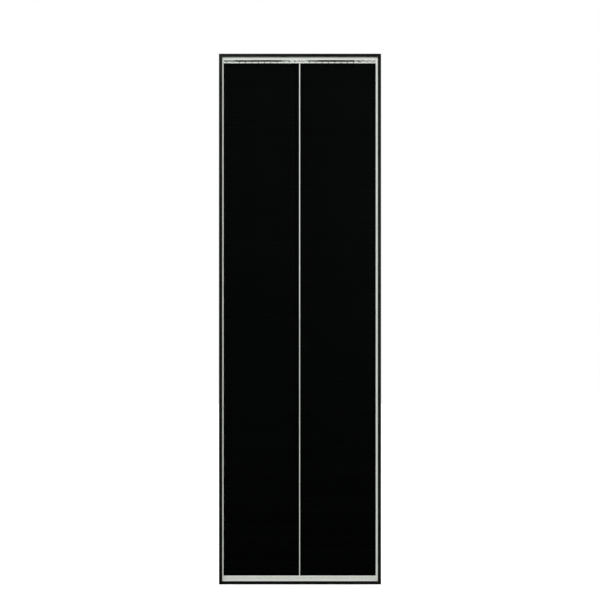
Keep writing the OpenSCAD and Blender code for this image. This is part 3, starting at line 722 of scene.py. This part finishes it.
def gland_collars(mat):
    """The rubber seals squeezed in the glands: ribbed outside, with a softened lip round each cable."""
    low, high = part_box("gland_seals")
    y, outer, length = (low.y + high.y) / 2, (high.y - low.y) / 2, high.z - low.z
    inner, lip, rib, ribs = LEAD_R + 0.03 * MM, 0.5 * MM, 0.35 * MM, 5
    pitch = (length - 2 * lip) / ribs
    section = [(inner, lip), (inner + 0.15 * MM, length / 2), (inner, length - lip)]
    section += [(inner + lip, length), (outer - lip, length)]
    for k in range(ribs):
        top = length - lip - k * pitch
        section += [(outer, top - part * pitch) for part in (0.1, 0.4)]
        section += [(outer - rib, top - part * pitch) for part in (0.6, 0.9)]
    section += [(outer - lip, 0.0), (inner + lip, 0.0)]
    verts, faces = [], []
    for side in (-1, 1):
        start = len(verts)
        more, quads = turned(section, Vector((side * LEAD_X, y, low.z)), turns=48)
        verts += more
        faces += [tuple(start + i for i in f) for f in quads]
    obj = add_mesh("gland_collars", verts, faces)
    smooth_by_angle(obj, 50)
    obj.data.materials.append(mat)
    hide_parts("gland_seals")
    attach(obj, "module")


def cable_stubs(jacket):
    """The stripped end of each jacket inside the box: softly rounded, leaning a little to one side."""
    low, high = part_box("cable_tails")
    y = (low.y + high.y) / 2
    start = GLAND_FACE + 1 * MM
    straight, leaning = 10, 8
    steps = straight + leaning
    for name, side in (("positive", -1), ("negative", 1)):
        run = []
        for i in range(steps + 1):
            z = start + (high.z - start) * i / steps
            lean = 0.25 * MM * side * (max(0.0, i - straight) / leaning) ** 2
            run.append(Vector((side * LEAD_X + lean, y, z)))
        first, last = run[0].lerp(run[1], 0.3), run[-1].lerp(run[-2], 0.3)
        run = [run[0], first] + run[1:-1] + [last, run[-1]]
        obj = tube(name + "_cable_stub", run, LEAD_R - 0.02 * MM, sides=24, taper=0.35 * MM)
        obj.data.materials.append(jacket)
        # The two tails share one CAD node, so the first stub stands in for it
        if side < 0:
            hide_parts("cable_tails")
        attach(obj, "module")


def stripped_cores(copper):
    """The bare end of each core inside the box: six strands laid round a seventh."""
    low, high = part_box("cable_tail_cores")
    y = (low.y + high.y) / 2
    inside_jacket = 4 * MM
    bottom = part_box("cable_tails")[1].z - inside_jacket
    strand_r, lay_r, lay_turns = 0.43 * MM, 0.85 * MM, 0.55
    steps, sides = 24, 10
    verts, faces = [], []
    for side in (-1, 1):
        for k in range(7):
            run = []
            for i in range(steps + 1):
                a = 2 * math.pi * (k / 6 + lay_turns * i / steps)
                out = Vector((math.cos(a), math.sin(a), 0)) * (lay_r if k < 6 else 0.0)
                run.append(Vector((side * LEAD_X, y, bottom + (high.z - bottom) * i / steps)) + out)
            start = len(verts)
            verts += tube_verts(run, strand_r, sides, taper=0.1 * MM)
            faces += [tuple(start + i for i in f) for f in ring_faces(len(run), sides, False)]
    obj = add_mesh("cable_strands", verts, faces)
    obj.data.materials.append(copper)
    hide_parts("cable_tail_cores")
    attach(obj, "module")


def polarity_marks(mat):
    """Raised plus and minus signs on the lid, above the lead of each polarity."""
    half_bar, half_stroke, height, chamfer = 2.6 * MM, 0.6 * MM, 0.45 * MM, 0.12 * MM
    lid_skin, sunk, up_the_lid = 2.25 * MM, 0.1 * MM, 10.2 * MM
    lid_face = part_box("junction_box_gasket")[1].y + lid_skin
    z = PAD_LOW.z + up_the_lid
    top = lid_face + height
    layers = ((0.0, lid_face - sunk), (0.0, top - chamfer), (chamfer, top))

    def minus(b, s):
        return [(b, -s), (b, s), (-b, s), (-b, -s)]

    def plus(b, s):
        arm = [(b, -s), (b, s), (s, s)]
        turns = ((1, 0), (0, 1), (-1, 0), (0, -1))
        return [(u * c - v * k, u * k + v * c) for c, k in turns for u, v in arm]

    verts, faces = [], []
    for sign, x in ((plus, -LEAD_X), (minus, LEAD_X)):
        start = len(verts)
        for inset, y in layers:
            outline = sign(half_bar - inset, half_stroke - inset)
            verts += [Vector((x + u, y, z + w)) for u, w in outline]
        n = len(outline)
        faces += [tuple(start + i for i in f) for f in ring_faces(len(layers), n, False)]
    obj = add_mesh("polarity_marks", verts, faces, smooth=False)
    obj.data.materials.append(mat)
    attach(obj, "box_lid")


def lead_path(name, side):
    """The run of one lead, from inside its gland to inside its connector's cap nut. It hangs a
    little off true, but not at either end."""
    low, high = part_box(name + "_cable")
    ball_r = LEAD_R + 0.03 * MM
    pivot = Vector((side * LEAD_X, (low.y + high.y) / 2, high.z - ball_r))
    flat = [(0.0, i * LEAD_PACE - LEAD_ABOVE) for i in range(int(LEAD_ABOVE / LEAD_PACE) + 1)]
    x, z, heading = 0.0, 0.0, 0.0
    for kind, *sizes in LEAD_STEPS:
        if kind == "line":
            length, turn = sizes[0] * MM, 0.0
        else:
            turn = math.radians(sizes[1])
            length = abs(turn) * sizes[0] * MM
        steps = max(2, int(length / LEAD_PACE))
        for i in range(steps):
            middle = heading + turn * (i + 0.5) / steps
            x += math.sin(middle) * length / steps
            z += math.cos(middle) * length / steps
            flat.append((x, z))
        heading += turn
    fading, smoothings = 80 * MM, 6
    sway_by, sway_rate = 0.9 * MM, 19.0
    lean_by, lean_rate = 1.2 * MM, 12.5
    points = []
    for fx, fz in flat:
        fade = max(0.0, min(1.0, fz / fading)) * max(0.0, min(1.0, (z - fz) / fading))
        sway = sway_by * math.sin(fz * sway_rate + side) * fade
        lean = lean_by * math.sin(fz * lean_rate + 2 * side) * fade
        points.append(pivot + Vector((side * fx + sway, lean, -fz)))
    for _ in range(smoothings):
        middle = [(a + 2 * b + c) / 4 for a, b, c in zip(points, points[1:], points[2:])]
        points = [points[0]] + middle + [points[-1]]
    return pivot, points


def lead(name, side, jacket, copper):
    """One cable and its core, each in one piece, shaped along the lead's path from inside the gland."""
    core_from = 8
    pivot, points = lead_path(name, side)
    parts = (
        ("cable", LEAD_R, 24, points, jacket, "cable_jacket"),
        ("core", 1.1 * MM, 12, points[core_from:], copper, "bare_copper"),
    )
    for part, radius, sides, run, mat, slot in parts:
        obj = tube(name + "_lead_" + part, run, radius, sides)
        obj.data.materials.append(mat)
        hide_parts(name + "_" + part)
        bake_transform(obj)


def smooth_by_angle(obj, degrees):
    """Sharp edges stay sharp, and curved walls shade smoothly."""
    limit = math.radians(degrees)
    bm = bmesh.new()
    bm.from_mesh(obj.data)
    for e in bm.edges:
        if len(e.link_faces) == 2:
            e.smooth = e.calc_face_angle(0.0) < limit
    for f in bm.faces:
        f.smooth = True
    bm.to_mesh(obj.data)
    bm.free()


def let_light_through(node):
    """Only what looks straight at a clear layer meets it: light and bounces pass it freely."""
    obj = NODES[node]
    obj.visible_shadow = False
    obj.visible_diffuse = False


def dress(node, mat, bevel=0.0, segments=2):
    """Gives a CAD node its finish, and breaks its edges with a fine bevel."""
    obj = NODES[node]
    obj.data.materials.clear()
    obj.data.materials.append(mat)
    if bevel:
        weld = obj.modifiers.new("weld", "WELD")
        weld.merge_threshold = 1e-6
        m = obj.modifiers.new("bevel", "BEVEL")
        m.width = bevel * MM
        m.segments = segments
        m.limit_method = "ANGLE"
        m.angle_limit = math.radians(40)
        m.harden_normals = True
        m.use_clamp_overlap = True


# ---------------------------------------------------------------- studio


def studio():
    """Plain white surroundings, dark straight ahead of the glass so that it mirrors nothing bright."""
    world = bpy.data.worlds.new("studio")
    bpy.context.scene.world = world
    world.use_nodes = True
    nodes, links = world.node_tree.nodes, world.node_tree.links
    nodes.clear()
    out = nodes.new("ShaderNodeOutputWorld")
    path = nodes.new("ShaderNodeLightPath")
    coord = nodes.new("ShaderNodeTexCoord")
    split = nodes.new("ShaderNodeSeparateXYZ")
    links.new(coord.outputs["Generated"], split.inputs[0])

    def spread(value, *limits):
        n = nodes.new("ShaderNodeMapRange")
        n.interpolation_type = "SMOOTHSTEP"
        links.new(value, n.inputs[0])
        for socket, limit in zip(list(n.inputs)[1:], limits):
            socket.default_value = limit
        return n.outputs[0]

    def background(strength):
        n = nodes.new("ShaderNodeBackground")
        n.inputs["Color"].default_value = (1, 1, 1, 1)
        if isinstance(strength, bpy.types.NodeSocket):
            links.new(strength, n.inputs["Strength"])
        else:
            n.inputs["Strength"].default_value = strength
        return n.outputs[0]

    def mix(fac, a, b):
        n = nodes.new("ShaderNodeMixShader")
        links.new(fac, n.inputs[0])
        links.new(a, n.inputs[1])
        links.new(b, n.inputs[2])
        return n.outputs[0]

    # What lights the module: more from above, and a little more from straight in front
    around = spread(split.outputs["Z"], -0.4, 0.9, 0.34, 1.15)
    facing = spread(split.outputs["Y"], -0.95, -0.55, 0.45, 0.0)
    total = nodes.new("ShaderNodeMath")
    links.new(around, total.inputs[0])
    links.new(facing, total.inputs[1])
    sky = background(total.outputs[0])
    # What smooth surfaces mirror: brighter upwards, and nothing straight in front of the glass
    height = spread(split.outputs["Z"], -0.3, 0.9, 0.3, 0.9)
    ahead = spread(split.outputs["Y"], -0.95, -0.55, 0.0, 1.0)
    dimmed = nodes.new("ShaderNodeMath")
    dimmed.operation = "MULTIPLY"
    links.new(height, dimmed.inputs[0])
    links.new(ahead, dimmed.inputs[1])
    mirrored = background(dimmed.outputs[0])
    seen = background(1.0)
    lit = mix(path.outputs["Is Glossy Ray"], sky, mirrored)
    links.new(mix(path.outputs["Is Camera Ray"], lit, seen), out.inputs["Surface"])


def soft_light(name, place, aim, size, power):
    """A rectangular light with soft edges to its shadows."""
    data = bpy.data.lights.new(name, "AREA")
    data.shape = "RECTANGLE"
    data.size, data.size_y = size
    data.energy = power
    obj = bpy.data.objects.new(name, data)
    obj.location = place
    obj.rotation_euler = (Vector(aim) - Vector(place)).to_track_quat("-Z", "Y").to_euler()
    bpy.context.scene.collection.objects.link(obj)


def floor():
    """White paper to stand on. It neither lights the module nor is mirrored in it."""
    size = 12.0
    verts = [(-size, -size, 0), (size, -size, 0), (size, size, 0), (-size, size, 0)]
    obj = add_mesh("floor", verts, [(0, 1, 2, 3)], smooth=False)
    t = Tree("floor_paper")
    t.set(Base_Color=t.mix(t.noise(3.0), grey(0.9), grey(0.93)), Roughness=0.85)
    t.set(Emission_Color=(1, 1, 1, 1), Emission_Strength=0.3)
    obj.data.materials.append(t.mat)
    obj.visible_diffuse = False
    obj.visible_glossy = False


def camera():
    """Square on to the glass, as in the photograph, through a long lens."""
    lens, sensor = 150.0, 36.0
    seen_width = 1.665
    height = 0.7894
    data = bpy.data.cameras.new("camera")
    data.lens = lens
    data.sensor_width = sensor
    data.clip_end = 60.0
    obj = bpy.data.objects.new("camera", data)
    distance = seen_width * lens / sensor
    obj.location = (0.0, RAIL_LOW.y - distance, height)
    obj.rotation_euler = (math.radians(90), 0, 0)
    bpy.context.scene.collection.objects.link(obj)
    bpy.context.scene.camera = obj


# ---------------------------------------------------------------- the build


def build():
    """Gives every CAD node its finish, then makes the pieces that stand in for some or are added."""
    upright = anodised("black_anodised_upright", 2)
    level = anodised("black_anodised_level", 0)
    mill = metal("mill_aluminium", (0.6, 0.61, 0.62, 1), 0.38)
    sealant = rubber("sealant", grey(0.016), 0.5)
    cell = silicon()
    ribbon = tinned_ribbon()
    film = encapsulant()
    white = white_film("white_backsheet", 0.76, 0.81, 0.42)
    strip_film = white_film("insulating_film", 0.75, 0.79, 0.5)
    plastic = moulded("moulded_black", 0.013, 0.46)
    lid_plastic = moulded("moulded_black_lid", 0.015, 0.5, 1700.0, 0.045)
    grey_rubber = rubber("grey_rubber", grey(0.05))
    steel = metal("plated_steel", (0.58, 0.59, 0.6, 1), 0.26, 0)
    tin = metal("tinned_copper", (0.7, 0.69, 0.66, 1), 0.28)
    copper = metal("bare_copper", (0.72, 0.4, 0.22, 1), 0.3)
    paste = moulded("conductive_adhesive", 0.32, 0.5)
    epoxy = diode(*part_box("bypass_diodes"))
    jacket = cable_jacket()
    red = rubber("red_rubber", (0.3, 0.05, 0.02, 1))

    finishes = (
        (upright, 0.3, ("frame_rail_left", "frame_rail_right")),
        (level, 0.3, ("frame_rail_top", "frame_rail_bottom")),
        (mill, 0.2, ("corner_keys",)),
        (sealant, 0, ("edge_seal",)),
        (toughened_glass(), 0, ("front_glass",)),
        (film, 0, ("front_encapsulant", "rear_encapsulant")),
        (cell, 0, ("cell_column_left", "cell_column_right")),
        (paste, 0, ("strip_adhesive",)),
        (ribbon, 0, ("bus_ribbon_top", "return_ribbons")),
        # The lower ribbon's pale matt tone is a painted reflection of bright light
        (bright_painted_ribbon(), 0, ("bus_ribbon_bottom",)),
        (strip_film, 0, ("ribbon_insulators",)),
        (label_film(*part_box("rating_label")), 0, ("rating_label",)),
        (plastic, 0.35, ("junction_box_base", "gland_nuts", "positive_housing", "negative_housing")),
        (lid_plastic, 0.35, ("junction_box_lid",)),
        (plastic, 0.2, ("positive_cap_nut", "negative_cap_nut")),
        (grey_rubber, 0, ("positive_gland_insert", "negative_gland_insert")),
        (steel, 0.15, ("lid_hinge_pins", "ribbon_clips", "cable_clamps")),
        (tin, 0.12, ("terminal_rails", "positive_pin", "negative_socket")),
        (epoxy, 0.2, ("bypass_diodes",)),
    )
    for mat, bevel, nodes in finishes:
        for node in nodes:
            dress(node, mat, bevel)
    for node in ("front_glass", "front_encapsulant", "rear_encapsulant"):
        let_light_through(node)
    backsheet(white)
    edge_bead(sealant)
    box_sealant(sealant)
    box_gasket(grey_rubber)
    nose_ring(red)
    gland_collars(grey_rubber)
    cable_stubs(jacket)
    stripped_cores(copper)
    polarity_marks(lid_plastic)
    lead("positive", -1, jacket, copper)
    lead("negative", 1, jacket, copper)


build()
studio()
floor()
# Name, place, aim, size in metres and power in watts
LIGHTS = (
    ("top", (-1.0, -2.2, 2.4), (0, 0, 1.4), (1.4, 0.8), 29),
    ("key", (-2.2, -3.2, 2.6), (0, 0, 0.9), (1.8, 1.8), 9),
    ("fill", (1.0, -3.4, 1.1), (0, 0, 0.9), (0.7, 0.7), 7),
    ("back", (1.6, 3.0, 3.0), (0, 0, 0.8), (1.8, 1.8), 45),
)
for light in LIGHTS:
    soft_light(*light)
camera()
bpy.context.scene.view_settings.view_transform = "Standard"
